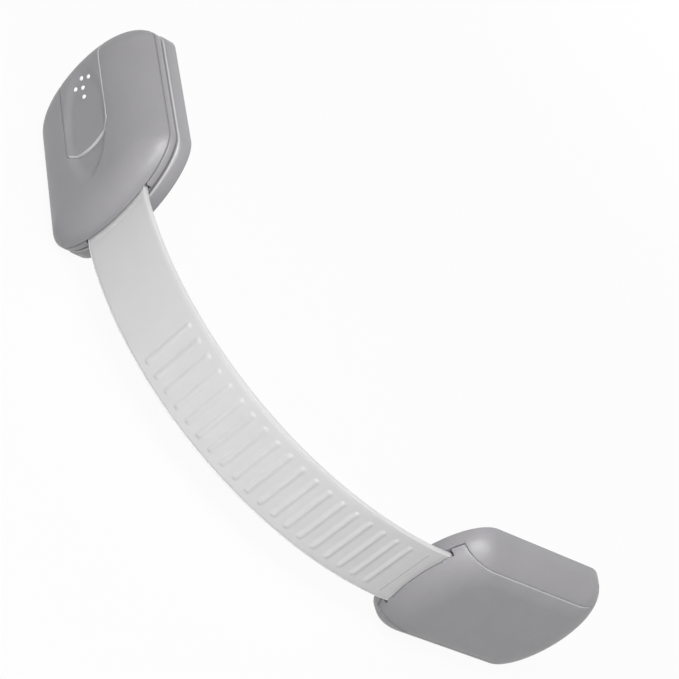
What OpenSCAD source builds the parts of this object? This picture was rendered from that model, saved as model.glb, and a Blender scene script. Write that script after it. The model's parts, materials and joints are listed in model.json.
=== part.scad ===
// Adhesive strap lock for a cabinet door, bent round a corner.
// The anchor is stuck in the plane y = 0, centred on the origin, and its cover faces -Y.
// The strap leaves it towards -X and bends towards +Y, and Z runs across the strap.

/* [Strap] */
// Width of the strap
strap_w = 19; // [16:0.5:21]
// Thickness of the strap
strap_t = 1.5; // [1.2:0.1:1.8]
// Length of strap between the two mouths
strap_free = 104.5; // [90:0.5:120]
// Length of strap inside the anchor
tail_in = 40; // [34:1:42]
// Length of strap inside the head
root_in = 12; // [9:0.5:13]
// Angle between the two stuck faces
bend_angle = 90; // [60:1:110]
// Part of the bend that lies at the anchor's mouth
anchor_mouth_bend = 6; // [2:1:8]
// Part of the bend that lies at the head's mouth
head_mouth_bend = 9; // [2:1:10]
// Length of strap that takes the bend at a mouth
mouth_run = 3; // [2:0.5:5]

/* [Ridges] */
// Spacing of the ridges across the strap
ridge_pitch = 3.7; // [2.5:0.1:4]
// Distance from the anchor's mouth to the first ridge outside it
ridge_start = 3; // [2:0.1:4]
// Number of ridges that show outside the anchor
ridges_out = 20; // [10:1:22]
// Number of ridges inside the anchor
ridges_in = 11; // [8:1:12]
// Length of each ridge across the strap
ridge_w = 15; // [10:0.5:15]
// Height of the ridges above the strap
ridge_h = 0.5; // [0.3:0.05:0.7]
// Radius of the ridges' rounded top
ridge_r = 0.6; // [0.5:0.05:0.8]

/* [Adhesive pads] */
// Thickness of the foam pads
foam_t = 1; // [0.8:0.1:1.5]
// Depth of the recess that holds each foam pad
foam_recess = 0.5; // [0.3:0.1:0.6]
// Distance from a base's edge to its foam recess
foam_margin = 2.5; // [2:0.1:4]

/* [Anchor] */
// Length of the anchor along the strap
anchor_l = 49.4; // [46:0.2:56]
// Width of the anchor
anchor_w = 36; // [34:0.5:42]
// Depth of the curved ends of both stuck plates
end_bow = 9.6; // [7:0.1:11]
// Rounding of the anchor's long sides, measured across the strap
anchor_side_run = 9; // [8:0.5:10]
// Rounding of the anchor's ends, measured along the strap
anchor_end_run = 7; // [5:0.5:8]
// Rounding of the anchor's ends, measured down from its top
anchor_end_drop = 6; // [4:0.5:7]
// Thickness of the anchor's floor
anchor_floor_t = 3; // [2.6:0.1:4]
// Width of the rail beside the strap that takes the cover's pegs
peg_rail_w = 3.8; // [3.4:0.1:4.4]
// Distance from the middle to the cheeks' ends, away from the strap
cheek_end = 18; // [15:0.5:19]
// Wall of the anchor's cover
anchor_wall = 1.5; // [1.2:0.1:2]
// Diameter of the cover's pegs
peg_d = 2.8; // [2:0.1:3]
// Distance of the pegs from the middle, along the strap
peg_u = 14; // [10:0.5:15]
// Depth of the pegs in the floor
peg_depth = 1.7; // [1:0.1:1.8]

/* [Ratchet pawl] */
// Length of the pawl's leaf
pawl_l = 23; // [18:0.5:26]
// Width of the pawl
pawl_w = 10; // [6:0.5:12]
// Thickness of the pawl's leaf
pawl_t = 0.9; // [0.6:0.1:1.2]
// Room between the ridges and the leaf
pawl_room = 0.4; // [0.3:0.05:0.8]
// Height of the seat that carries the leaf under the cover
pawl_seat_h = 1.1; // [0.8:0.1:1.5]
// Length of that seat
pawl_seat_l = 6; // [4:0.5:8]
// Diameter of the peg that holds the leaf
pawl_peg_d = 2.4; // [1.6:0.1:3]
// Radius of the pawl's tooth
tooth_r = 0.6; // [0.4:0.05:0.7]

/* [Latch base] */
// Length of the latch base along the strap
latch_l = 48; // [47:0.5:54]
// Width of the latch base
latch_w = 39.7; // [38:0.1:44]
// Thickness of the latch base
latch_base_t = 3.5; // [3:0.1:5]
// Bevel round the top of the latch base
base_bevel = 0.6; // [0.3:0.1:1]
// Size of each catch post along the strap
post_l = 4; // [3:0.5:5]
// Size of each catch post across the strap
post_w = 2.6; // [2:0.1:3]
// Room between the button's wedge and the posts
post_room = 1; // [0.5:0.1:1.5]
// Gap between the two posts
post_gap = 8.8; // [8:0.2:10]
// How far each post's lip stands out
lip_out = 1; // [0.6:0.1:1.2]
// Thickness of the lips
lip_t = 0.8; // [0.6:0.1:1.2]

/* [Head] */
// Bottom of the strap's bed in the lower cover
bed_t = 0.4; // [0.3:0.1:1]
// How far the head lies inside the latch base's outline
head_inset = 0.15; // [0.1:0.05:0.4]
// Wall of the head's shell
head_wall = 1.8; // [1.4:0.1:2.2]
// Rounding of the shell's long sides, measured across the strap
head_side_run = 12; // [10:0.1:12]
// Rounding of the shell's long sides, measured down from its top
head_side_drop = 7; // [6:0.1:8]
// Rounding of the shell's ends, measured along the strap
head_end_run = 5.5; // [4.5:0.1:5.5]
// Rounding of the shell's ends, measured down from its top
head_end_drop = 5; // [4:0.1:5]
// Diameter of the pegs between the lower cover and the shell
head_peg_d = 2.4; // [1.8:0.1:3]
// Length of those pegs
head_peg_l = 2.2; // [1.5:0.1:2.4]
// Outside diameter of the shell's bosses
boss_d = 4.4; // [4.2:0.1:5]
// Distance of the bosses from the middle, along the strap
boss_u = 14.5; // [12:0.5:16]
// Distance of the bosses from the middle, across the strap
boss_w = 13; // [12:0.25:13.5]
// Diameter of the pegs that hold the strap's root
root_peg_d = 3; // [2:0.1:4]
// Distance between those pegs
root_peg_gap = 12; // [9:0.5:13]

/* [Latch clip] */
// Height of the seat that carries the clip
clip_seat_h = 0.5; // [0.4:0.1:1]
// Thickness of the clip
clip_t = 1; // [0.8:0.1:1.4]
// Width of the clip's legs
clip_leg_w = 1; // [0.8:0.1:1.2]
// Length of the clip's legs
clip_leg_l = 24.5; // [23.5:0.5:25]
// Length of the clip's crossbar along the strap
clip_bar_l = 3; // [3:0.1:4]
// Distance of the crossbar's peg from the middle
clip_peg_u = 8.5; // [8:0.25:9.5]
// Diameter of the crossbar's peg
clip_peg_d = 2; // [1.5:0.1:2.4]

/* [Release button] */
// Width of the button
button_w = 14; // [12:0.5:15]
// Distance from the middle to the button's front corners
button_front = 3; // [1:0.25:4]
// How far the button's front edge bows towards the strap
button_bow = 2.4; // [1.5:0.1:3]
// Travel of the button
button_travel = 4; // [3:0.25:4.5]
// Thickness of the slide plate under the button
slide_t = 0.8; // [0.6:0.1:1.2]
// How far the slide plate reaches under the shell at each side
slide_flange = 1.4; // [1:0.1:2]
// Lowest level of the button's far end, above the lower cover
button_lip_z = 2.4; // [2:0.1:3]
// Depth of the thumb scoop
scoop_depth = 0.9; // [0.5:0.05:1]
// Length of the thumb scoop
scoop_l = 33; // [28:0.5:34]
// Width of the thumb scoop
scoop_w = 13; // [10:0.25:13.5]
// Distance of the scoop from the middle, away from the strap
scoop_u = 2.5; // [1:0.25:4]
// Diameter of the grip dots
dot_d = 1; // [0.8:0.1:1.4]
// Spacing of the grip dots along the button
dot_pitch = 2.9; // [2.4:0.1:3.2]
// Distance of the first grip dot from the middle
dot_u = 10.4; // [9:0.2:11]
// Distance of the two side dots from the middle line
dot_spread = 2.35; // [1.8:0.05:2.8]
// Height of the grip dots
dot_h = 0.3; // [0.2:0.05:0.5]
// Width of the wedge's narrow end
wedge_tip = 6.4; // [5:0.2:7]
// Width of the wedge's wide end
wedge_root = 12.4; // [11:0.2:12.4]
// Length of the wedge
wedge_l = 5; // [4.5:0.1:5.5]
// How far the wedge starts ahead of the clip's toes
wedge_lead = 0.5; // [0.3:0.1:0.8]
// Room between the wedge's narrow end and the toes
toe_room = 1.4; // [1.2:0.1:1.6]
// Farthest reach of the slide plate's flanges from the middle, at full travel
flange_reach = 17; // [16:0.2:17.2]
// Length of those flanges
flange_l = 4; // [3:0.5:5]

/* [Return spring] */
// Outside diameter of the coil
coil_d = 2.3; // [2:0.1:2.4]
// Diameter of the wire
wire_d = 0.4; // [0.3:0.05:0.45]
// Number of turns
coil_turns = 8; // [6:1:9]
// Length of the spring at rest
coil_l = 10; // [9:0.25:10.5]
// Thickness of the two walls that the spring leans on
stop_t = 1.2; // [1:0.1:1.5]
// Width of those walls
stop_w = 4; // [3:0.2:4.4]

/* [Clearances] */
// Room round the strap in the anchor
strap_clear = 0.1; // [0.08:0.01:0.2]
// Seam between two outer pieces
seam = 0.15; // [0.1:0.01:0.25]
// Radial room of a peg in its hole
peg_clear = 0.05; // [0.03:0.01:0.08]
// Gap between the latch base and the head
part_gap = 0.25; // [0.2:0.05:0.4]
// Room between parts that pass each other inside the head
inner_clear = 0.25; // [0.2:0.01:0.3]
// Room at a hinge line of the strap
hinge_clear = 0.05; // [0.03:0.01:0.08]
// How far each strap joint stands proud of the strap's faces
knuckle_proud = 0.03; // [0.02:0.01:0.05]

/* [Hidden] */
$fn = 48;
// Steps along a bowed end, slices in a domed form, and the thickness of one slice
outline_steps = 24;
dome_steps = 6;
slice_t = 0.01;
// Reach of a cut that goes right through, and how far joined shapes run into each other
far = 100;
sink = 0.4;

// Levels of the anchor, measured outwards from the stuck face
base_bottom = foam_t - foam_recess;
floor_top = base_bottom + anchor_floor_t;
anchor_strap_in = floor_top + strap_clear;
anchor_strap_out = anchor_strap_in + strap_t;
pawl_bottom = anchor_strap_out + ridge_h + pawl_room;
pawl_top = pawl_bottom + pawl_t;
anchor_h = pawl_top + pawl_seat_h + anchor_wall;
panel_half = strap_w / 2 + peg_rail_w;
peg_w = strap_w / 2 + peg_rail_w / 2;

// Levels of the latch base and the head, measured outwards from the stuck face
latch_base_top = base_bottom + latch_base_t;
cover_bottom = latch_base_top + part_gap;
bed_top = cover_bottom + bed_t;
head_strap_in = bed_top + hinge_clear;
cover_top = head_strap_in + strap_t;
clip_bottom = cover_top + clip_seat_h;
clip_top = clip_bottom + clip_t;
lip_bottom = clip_top + inner_clear;
post_top = lip_bottom + lip_t;
slide_bottom = post_top + inner_clear;
slide_top = slide_bottom + slide_t;
roof_in = slide_top + seam;
head_h = roof_in + head_wall;
coil_level = (cover_top + slide_bottom) / 2;

head_l = latch_l - 2 * head_inset;
head_w = latch_w - 2 * head_inset;
head_bow = end_bow - head_inset;

// Places inside the head, from the clip's peg away from the strap
toe_u = clip_peg_u - clip_leg_l;
wedge_u = toe_u - wedge_lead;
post_u = wedge_u + wedge_l + post_room;
stop_u = post_u + stop_t;
tab_u = stop_u + coil_l + 2 * inner_clear;

// Run of the strap's middle line from the anchor's mouth, turning from -X towards +Y
mouth_u = anchor_l / 2 + seam;
main_run = strap_free - 2 * mouth_run;
main_bend = bend_angle - anchor_mouth_bend - head_mouth_bend;
mouth_point = [-mouth_u, -(anchor_strap_in + strap_t / 2)];
function heading(a) = [-cos(a), sin(a)];
function outward(a) = [-sin(a), -cos(a)];
function along_arc(p, a0, a1, run) =
    p + run * 180 / PI / (a1 - a0) * [sin(a0) - sin(a1), cos(a0) - cos(a1)];
function angle_at(s) =
    s <= 0 ? 0
    : s <= mouth_run ? anchor_mouth_bend * s / mouth_run
    : s <= strap_free - mouth_run ? anchor_mouth_bend + main_bend * (s - mouth_run) / main_run
    : s <= strap_free ? bend_angle - head_mouth_bend * (strap_free - s) / mouth_run
    : bend_angle;
bend_start = along_arc(mouth_point, 0, anchor_mouth_bend, mouth_run);
bend_end = along_arc(bend_start, anchor_mouth_bend, bend_angle - head_mouth_bend, main_run);
strap_end = along_arc(bend_end, bend_angle - head_mouth_bend, bend_angle, mouth_run);
function point_at(s) =
    s <= 0 ? mouth_point + s * heading(0)
    : s <= mouth_run ? along_arc(mouth_point, 0, angle_at(s), s)
    : s <= strap_free - mouth_run
        ? along_arc(bend_start, anchor_mouth_bend, angle_at(s), s - mouth_run)
    : s < strap_free
        ? along_arc(bend_end, bend_angle - head_mouth_bend, angle_at(s), s - strap_free + mouth_run)
    : strap_end + (s - strap_free) * heading(bend_angle);

// Hinge lines that stand for the strap's flexing, spaced evenly, each between two ridges
hinges = 6;
function hinge_at(i) = ridge_start
    + ridge_pitch * (floor((strap_free * (i - 0.5) / hinges - ridge_start) / ridge_pitch) + 0.5);

// Place of the latch's stuck face
head_mouth_u = latch_l / 2 + seam;
latch_origin = strap_end + head_mouth_u * heading(bend_angle)
    - (head_strap_in + strap_t / 2) * outward(bend_angle);

// In each local frame u runs towards the strap, and the third axis points away from the stuck face
module in_anchor_frame() rotate([90, 0, 0]) rotate([0, 0, 180]) children();
module in_latch_frame()
    translate([latch_origin.x, latch_origin.y, 0]) rotate([0, 0, -bend_angle]) rotate([90, 0, 0])
        children();

// Rectangle whose two ends bow out as half ellipses
function bowed(l, w, bow) = [
    for (side = [0, 1], i = [0 : outline_steps])
        let (a = 180 * (i / outline_steps - 0.5 + side), middle = (1 - 2 * side) * (l / 2 - bow))
        [middle + bow * cos(a), w / 2 * sin(a)]
];
module plate(l, w, bow, z0, z1)
    translate([0, 0, z0]) linear_extrude(z1 - z0) polygon(bowed(l, w, bow));

// Form of length l and width w at the level z0, with sides and ends that round in towards its top.
// A rounding is an elliptic arc, given as its run across and its drop from the top.
function rounding(z, h, drop) = sqrt(max(0, 1 - (max(0, z - h + drop) / drop) ^ 2));
module dome(l, w, bow, h, side, end, z0) {
    a0 = asin(max(0, z0 - h + side[1]) / side[1]);
    hull() for (k = [0 : dome_steps]) {
        z = k == 0 ? z0 : h - side[1] * (1 - sin(a0 + (90 - a0) * k / dome_steps));
        slice_w = w - 2 * side[0] * (rounding(z0, h, side[1]) - rounding(z, h, side[1]));
        slice_l = l - 2 * end[0] * (rounding(z0, h, end[1]) - rounding(z, h, end[1]));
        translate([0, 0, k == 0 ? z : z - slice_t])
            linear_extrude(slice_t) polygon(bowed(slice_l, slice_w, bow * slice_w / w));
    }
}
module block(u0, u1, w0, w1, z0, z1) translate([u0, w0, z0]) cube([u1 - u0, w1 - w0, z1 - z0]);
module both_sides() for (s = [0, 1]) mirror([0, s, 0]) children();

// Anchor
module anchor_form(inset = 0)
    dome(anchor_l - 2 * inset, anchor_w - 2 * inset, end_bow - inset, anchor_h - inset,
        [anchor_side_run - inset, anchor_h - base_bottom - inset],
        [anchor_end_run - inset, anchor_end_drop - inset], base_bottom);

module foam_pad(l, w, room)
    plate(l - 2 * (foam_margin - room), w - 2 * (foam_margin - room), end_bow - foam_margin + room,
        0, foam_t);

module anchor_adhesive_pad() color("gainsboro") in_anchor_frame() foam_pad(anchor_l, anchor_w, 0);

module anchor_base() color([0.56, 0.55, 0.57]) in_anchor_frame() difference() {
    intersection() {
        anchor_form();
        union() {
            block(-far, far, -far, far, 0, floor_top);
            both_sides() block(seam / 2 - cheek_end, far, panel_half + seam / 2, far, 0, far);
        }
    }
    foam_pad(anchor_l, anchor_w, seam);
    for (u = [-peg_u, peg_u]) both_sides() translate([u, peg_w, floor_top - peg_depth - seam])
        cylinder(h = far, d = peg_d + 2 * peg_clear);
}

module anchor_cover() color([0.56, 0.55, 0.57]) in_anchor_frame() {
    slot_half = strap_w / 2 + strap_clear;
    ridge_slot_half = ridge_w / 2 + 2 * strap_clear;
    difference() {
        intersection() {
            anchor_form();
            union() {
                block(-far, far, seam / 2 - panel_half, panel_half - seam / 2, floor_top + seam, far);
                block(-far, -cheek_end - seam / 2, -far, far, floor_top + seam, far);
            }
        }
        anchor_form(anchor_wall);
        block(0, far, -slot_half, slot_half, 0, anchor_strap_out + strap_clear);
        block(0, far, -ridge_slot_half, ridge_slot_half, 0, anchor_strap_out + ridge_h + strap_clear);
    }
    for (u = [-peg_u, peg_u]) both_sides() translate([u, peg_w, floor_top - peg_depth])
        cylinder(h = anchor_h - anchor_wall - floor_top + peg_depth, d = peg_d);
    seat_u = pawl_root_u + pawl_seat_l / 2;
    block(pawl_root_u, pawl_root_u + pawl_seat_l, -pawl_w / 2, pawl_w / 2, pawl_top,
        anchor_h - anchor_wall + sink);
    translate([seat_u, 0, pawl_bottom]) cylinder(h = pawl_t + sink, d = pawl_peg_d);
}

// The tooth rests halfway between two ridges
tooth_u = mouth_u + ridge_start - 4.5 * ridge_pitch;
pawl_root_u = tooth_u + tooth_r - pawl_l;
module ratchet_pawl() color("dimgray") in_anchor_frame() {
    difference() {
        block(pawl_root_u, pawl_root_u + pawl_l, -pawl_w / 2, pawl_w / 2, pawl_bottom, pawl_top);
        translate([pawl_root_u + pawl_seat_l / 2, 0, 0])
            cylinder(h = far, d = pawl_peg_d + 2 * peg_clear);
    }
    tooth_bottom = anchor_strap_out + strap_clear;
    block(tooth_u - tooth_r, tooth_u + tooth_r, -pawl_w / 2, pawl_w / 2, tooth_bottom + tooth_r,
        pawl_bottom + sink);
    translate([tooth_u, 0, tooth_bottom + tooth_r]) rotate([90, 0, 0])
        cylinder(h = pawl_w, r = tooth_r, center = true);
}

// Strap: each length ends in a round knuckle, and the next length is hollowed to fit it
strap_step = 2.2;
function bent_stations(s0, s1) =
    let (count = ceil((s1 - s0) / strap_step)) [for (i = [0 : count]) s0 + (s1 - s0) * i / count];
module strap_slab(s0, s1) {
    stations = concat(s0 < 0 ? [s0] : [], bent_stations(max(s0, 0), min(s1, strap_free)),
        s1 > strap_free ? [s1] : []);
    linear_extrude(strap_w, center = true) polygon(concat(
        [for (s = stations) point_at(s) + strap_t / 2 * outward(angle_at(s))],
        [for (i = [len(stations) - 1 : -1 : 0])
            point_at(stations[i]) - strap_t / 2 * outward(angle_at(stations[i]))]
    ));
}
module knuckle(i, room = 0)
    translate(point_at(hinge_at(i)))
        cylinder(h = strap_w + 2 * room, r = strap_t / 2 + knuckle_proud + room, center = true);

// Ridges lie on both sides of the anchor's mouth, at one spacing
module ridges(s0, s1) {
    for (i = [-ridges_in : ridges_out - 1]) {
        s = ridge_start + i * ridge_pitch;
        if (s - ridge_r > s0 && s + ridge_r < s1)
            translate(point_at(s) + (strap_t / 2 + ridge_h - ridge_r) * outward(angle_at(s)))
                cylinder(h = ridge_w, r = ridge_r, center = true);
    }
}
module strap_length(i) color([0.83, 0.83, 0.84]) {
    start = hinge_at(i);
    end = hinge_at(i + 1);
    difference() {
        strap_slab(start, end);
        knuckle(i, hinge_clear);
    }
    knuckle(i + 1);
    ridges(start + strap_t / 2 + hinge_clear, end - strap_t / 2);
}
module strap_tail() color([0.83, 0.83, 0.84]) {
    strap_slab(-tail_in, hinge_at(1));
    knuckle(1);
    ridges(-tail_in, hinge_at(1) - strap_t / 2);
}
module strap_root() color([0.83, 0.83, 0.84]) difference() {
    strap_slab(hinge_at(hinges), strap_free + root_in);
    knuckle(hinges, hinge_clear);
    in_latch_frame() root_pegs(0, peg_clear);
}

// Latch base
module latch_adhesive_pad() color("gainsboro") in_latch_frame() foam_pad(latch_l, latch_w, 0);

module latch_base() color([0.56, 0.55, 0.57]) in_latch_frame() {
    difference() {
        hull() {
            plate(latch_l, latch_w, end_bow, base_bottom, latch_base_top - base_bevel);
            plate(latch_l - 2 * base_bevel, latch_w - 2 * base_bevel, end_bow - base_bevel,
                latch_base_top - base_bevel, latch_base_top);
        }
        foam_pad(latch_l, latch_w, seam);
    }
    both_sides() {
        block(post_u, post_u + post_l, post_gap / 2, post_gap / 2 + post_w, latch_base_top - sink, post_top);
        block(post_u, post_u + post_l, post_gap / 2, post_gap / 2 + post_w + lip_out, lip_bottom, post_top);
    }
}

// Head
root_peg_u = head_mouth_u - root_in * 0.7;
module root_pegs(z0, room) both_sides() translate([root_peg_u, root_peg_gap / 2, z0])
    cylinder(h = cover_top - z0, d = root_peg_d + 2 * room);

module head_pegs(z1, d) for (u = [-boss_u, boss_u]) both_sides() translate([u, boss_w, cover_top - sink])
    cylinder(h = z1 - cover_top + sink, d = d);

module head_lower_cover() color([0.52, 0.51, 0.53]) in_latch_frame() {
    bed_half = strap_w / 2 + strap_clear;
    difference() {
        plate(head_l, head_w, head_bow, cover_bottom, cover_top);
        block(head_mouth_u - root_in - strap_clear, far, -bed_half, bed_half, bed_top, far);
        both_sides() block(post_u - inner_clear, post_u + post_l + inner_clear,
            post_gap / 2 - inner_clear, post_gap / 2 + post_w + lip_out + inner_clear, 0, far);
    }
    root_pegs(bed_top - bed_t / 2, 0);
    head_pegs(cover_top + head_peg_l, head_peg_d);
    translate([clip_peg_u, 0, cover_top - sink]) {
        cylinder(h = clip_seat_h + sink, d = clip_bar_l);
        cylinder(h = clip_top - cover_top + sink, d = clip_peg_d);
    }
    block(stop_u - stop_t, stop_u, -stop_w / 2, stop_w / 2, cover_top - sink, post_top);
}

module head_form(inset = 0)
    dome(head_l - 2 * inset, head_w - 2 * inset, head_bow - inset, head_h - inset,
        [head_side_run - inset, head_side_drop - inset], [head_end_run - inset, head_end_drop - inset],
        cover_top);

// Plan of the button, open at the far end, with a bowed front
module button_plan(room) {
    half = button_w / 2;
    arc_r = (half ^ 2 + button_bow ^ 2) / (2 * button_bow);
    arc_u = button_front + button_bow - arc_r;
    translate([-far, -half - room]) square([far + button_front, button_w + 2 * room]);
    intersection() {
        translate([arc_u, 0]) circle(arc_r + room);
        translate([button_front - 1, -half - room]) square([far, button_w + 2 * room]);
    }
}
module button_space(room, z0) translate([0, 0, z0]) linear_extrude(far) button_plan(room);

// The scoop is cut by a wheel that turns across the head
across_r = (scoop_w ^ 2 / 4 + scoop_depth ^ 2) / (2 * scoop_depth);
along_r = (scoop_l ^ 2 / 4 + scoop_depth ^ 2) / (2 * scoop_depth);
function scoop_level(u, w) =
    head_h - max(0, scoop_depth - (u + scoop_u) ^ 2 / (2 * along_r) - w ^ 2 / (2 * across_r));
module scoop()
    translate([-scoop_u, 0, head_h - scoop_depth + along_r]) rotate([90, 0, 0]) rotate_extrude($fn = 192)
        intersection() {
            translate([along_r - across_r, 0]) circle(across_r, $fn = 96);
            translate([along_r - across_r, -far / 2]) square([far, far]);
        }

module head_shell() color([0.56, 0.55, 0.57]) in_latch_frame() difference() {
    union() {
        difference() {
            head_form();
            head_form(head_wall);
        }
        intersection() {
            head_form();
            for (u = [-boss_u, boss_u]) both_sides() translate([u, boss_w, cover_top])
                cylinder(h = far, d = boss_d);
        }
    }
    head_pegs(cover_top + head_peg_l + seam, head_peg_d + 2 * peg_clear);
    button_space(seam, cover_top + button_lip_z - seam);
    scoop();
}

// Release button
tongue_margin = 1;
module release_button() color([0.56, 0.55, 0.57]) in_latch_frame() {
    half = button_w / 2;
    deck_half = half - seam;
    flange_u = button_travel - flange_reach;
    wedge_end = wedge_u + wedge_l;
    wedge_bottom = clip_bottom - inner_clear;
    difference() {
        intersection() {
            difference() {
                head_form();
                head_form(head_wall);
            }
            button_space(0, cover_top + button_lip_z);
        }
        scoop();
    }
    block(wedge_u, button_front, -deck_half, deck_half, slide_bottom, roof_in + sink);
    block(flange_u, flange_u + flange_l, -half - slide_flange, half + slide_flange, slide_bottom, slide_top);
    block(0, button_front + button_bow + button_travel - tongue_margin, tongue_margin - half,
        half - tongue_margin, slide_bottom, slide_top);
    translate([0, 0, wedge_bottom]) linear_extrude(slide_bottom + sink - wedge_bottom)
        polygon([[wedge_u, -wedge_tip / 2], [wedge_end, -wedge_root / 2],
            [wedge_end, wedge_root / 2], [wedge_u, wedge_tip / 2]]);
    block(tab_u, tab_u + stop_t, -stop_w / 2, stop_w / 2, cover_top + inner_clear, slide_bottom + sink);
    for (p = [[0, 0], [1, 0], [2, 0], [1.5, 1], [1.5, -1]]) {
        u = -dot_u - p.x * dot_pitch;
        w = p.y * dot_spread;
        translate([u, w, scoop_level(u, w) - sink]) cylinder(h = sink + dot_h, d = dot_d);
    }
}

// Latch clip: two springy legs whose toes reach in towards the button's wedge
module latch_clip() color("dimgray") in_latch_frame() {
    leg_in = post_gap / 2 + post_w + inner_clear;
    leg_out = leg_in + clip_leg_w;
    bar_u = clip_peg_u - clip_bar_l / 2;
    toe_tip = wedge_tip / 2 + toe_room;
    translate([0, 0, clip_bottom]) linear_extrude(clip_t) difference() {
        union() {
            translate([bar_u, -leg_out]) square([clip_bar_l, 2 * leg_out]);
            for (s = [0, 1]) mirror([0, s]) {
                translate([toe_u, leg_in]) square([bar_u - toe_u + sink, clip_leg_w]);
                translate([toe_u, toe_tip]) square([clip_leg_w, leg_out - toe_tip]);
            }
        }
        translate([clip_peg_u, 0]) circle(d = clip_peg_d + 2 * peg_clear);
    }
}

// Return spring: a wire swept along a helix
wire_sides = 6;
rings_per_turn = 10;
module return_spring() color("silver") in_latch_frame() {
    rings = coil_turns * rings_per_turn;
    mean_r = (coil_d - wire_d) / 2;
    run = coil_l - wire_d;
    ring_points = [
        for (i = [0 : rings], j = [0 : wire_sides - 1])
            let (a = 360 * i / rings_per_turn, b = 360 * j / wire_sides,
                r = mean_r + wire_d / 2 * cos(b))
            [wire_d / 2 + run * i / rings + wire_d / 2 * sin(b), r * cos(a), r * sin(a)]
    ];
    sides = [
        for (i = [0 : rings - 1], j = [0 : wire_sides - 1])
            let (k = (j + 1) % wire_sides, p = i * wire_sides, q = p + wire_sides)
            each [[p + j, q + j, q + k], [p + j, q + k, p + k]]
    ];
    ends = [
        for (j = [1 : wire_sides - 2])
            each [[0, j, j + 1], [rings * wire_sides, rings * wire_sides + j + 1, rings * wire_sides + j]]
    ];
    translate([stop_u + inner_clear, 0, coil_level]) polyhedron(ring_points, concat(sides, ends));
}

anchor_adhesive_pad();
anchor_base();
anchor_cover();
ratchet_pawl();
strap_tail();
strap_length(1);  // strap_length_1
strap_length(2);  // strap_length_2
strap_length(3);  // strap_length_3
strap_length(4);  // strap_length_4
strap_length(5);  // strap_length_5
strap_root();
latch_adhesive_pad();
latch_base();
head_lower_cover();
head_shell();
release_button();
latch_clip();
return_spring();
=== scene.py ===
# %% [markdown]
# # Cabinet safety lock
# Two stuck pads and a flexible strap keep a cabinet door shut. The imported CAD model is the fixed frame:
# it says where each body is and how it moves. This lesson dresses that frame with smooth mouldings and
# finishes. All of it is in metres, in the frame of the CAD model.

# %% Load the frame
import json
import math

import bpy
import numpy as np
from mathutils import Matrix, Vector
from mathutils.geometry import delaunay_2d_cdt


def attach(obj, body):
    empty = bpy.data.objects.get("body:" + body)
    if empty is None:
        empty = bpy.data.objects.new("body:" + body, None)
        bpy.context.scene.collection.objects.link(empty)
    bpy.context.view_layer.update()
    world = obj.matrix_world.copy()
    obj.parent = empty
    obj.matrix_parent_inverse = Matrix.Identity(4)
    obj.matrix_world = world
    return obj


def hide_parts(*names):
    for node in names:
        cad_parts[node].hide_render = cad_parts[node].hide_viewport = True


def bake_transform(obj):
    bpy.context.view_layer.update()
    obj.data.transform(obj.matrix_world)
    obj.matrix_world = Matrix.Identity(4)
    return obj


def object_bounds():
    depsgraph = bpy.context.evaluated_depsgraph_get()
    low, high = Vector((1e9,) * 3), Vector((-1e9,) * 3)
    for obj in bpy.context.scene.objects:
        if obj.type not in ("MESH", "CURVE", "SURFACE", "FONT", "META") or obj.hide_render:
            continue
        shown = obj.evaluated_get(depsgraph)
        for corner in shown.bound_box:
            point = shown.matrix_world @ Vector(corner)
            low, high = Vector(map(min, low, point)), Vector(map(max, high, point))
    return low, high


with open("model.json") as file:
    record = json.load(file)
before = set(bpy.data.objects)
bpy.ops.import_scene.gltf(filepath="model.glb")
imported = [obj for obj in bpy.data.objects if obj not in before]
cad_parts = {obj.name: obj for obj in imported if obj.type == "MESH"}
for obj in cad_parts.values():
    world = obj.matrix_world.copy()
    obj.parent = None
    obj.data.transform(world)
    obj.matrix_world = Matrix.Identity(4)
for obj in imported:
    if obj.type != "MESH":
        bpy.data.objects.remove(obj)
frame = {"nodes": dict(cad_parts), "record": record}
cad_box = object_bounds()
MM = 0.001

# %% [markdown]
# ## Two local frames
# Each pad is easiest to draw lying flat: u runs towards the strap, w across it, and n up from the stuck
# face, all in millimetres. The anchor's stuck face is the origin of the whole model. The latch's stuck
# face is a mount in the record, so its place is read there and isn't typed in twice.

# %% Local frames of the pads
mounts = {m["name"]: m for m in frame["record"]["mounts"]}
latch_face = np.array(mounts["latch_face"]["pos_m"])


def at_anchor(p):
    p = np.asarray(p, float)
    return np.stack([-p[:, 0], -p[:, 2], -p[:, 1]], 1) * MM


def at_latch(p):
    p = np.asarray(p, float)
    return np.stack([-p[:, 2], -p[:, 0], p[:, 1]], 1) * MM + latch_face


print("latch face at", latch_face.round(4))

# %% [markdown]
# ## Finishes
# Both pads are injection moulded in a satin grey plastic with a fine spark-eroded grain: under a light it
# sparkles a little. Where the pieces meet, their rounded edges are painted paler, as a painted highlight.
# The strap is a softer, milky plastic. Each finish is one procedural material, whose grain is a real size
# because the texture uses object coordinates in metres.

# %% Material helper
GLOSS_SPREAD = 0.05          # how far the roughness strays to either side
GRAIN_HEIGHT = 0.05 * MM
CLOUD_STOPS = (0.35, 0.65)   # where the noise turns from the darker shade to the lighter one


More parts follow.
